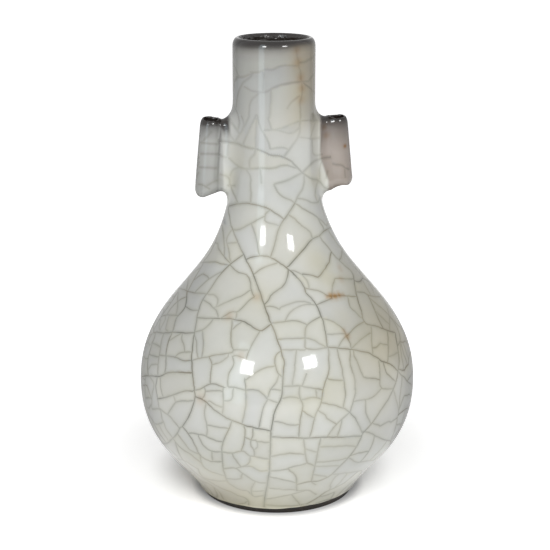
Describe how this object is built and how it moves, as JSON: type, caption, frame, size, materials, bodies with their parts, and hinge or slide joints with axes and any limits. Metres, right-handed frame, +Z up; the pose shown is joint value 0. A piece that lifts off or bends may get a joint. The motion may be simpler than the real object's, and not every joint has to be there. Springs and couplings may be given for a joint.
{
  "type": "bottle vase",
  "caption": "Pear-shaped crackle-glazed bottle vase with a straight neck, two tubular lugs and a low bare foot ring.",
  "frame": {"origin": "centre of the foot ring, on the flat face that the vase stands on", "axes": "+Z up along the neck, +X through the right lug, and -Y to the front"},
  "size_m": [0.1384, 0.1384, 0.23],
  "materials": {
    "body_glaze": "glossy pale grey-green crackle glaze, grey cracks 12 to 25 mm apart",
    "neck_glaze": "glossy pale grey-green crackle glaze, thin and dark brown at the lip",
    "left_lug_glaze": "glossy pale grey-green crackle glaze, grey, thin and dark brown at the rim",
    "right_lug_glaze": "glossy pale grey-green crackle glaze, warm grey, thin and dark brown at the rim",
    "bare_foot": "matt unglazed dark iron-brown stoneware",
    "slip_clay": "fired slip under glaze"
  },
  "bodies": {
    "root": {"foot_ring": "bare_foot", "foot_slip_joint": "slip_clay", "lower_body": "body_glaze", "belly_slip_joint": "slip_clay", "upper_body": "body_glaze", "neck_slip_joint": "slip_clay", "neck": "neck_glaze", "left_lug": "left_lug_glaze", "right_lug": "right_lug_glaze"}
  },
  "joints": []
}
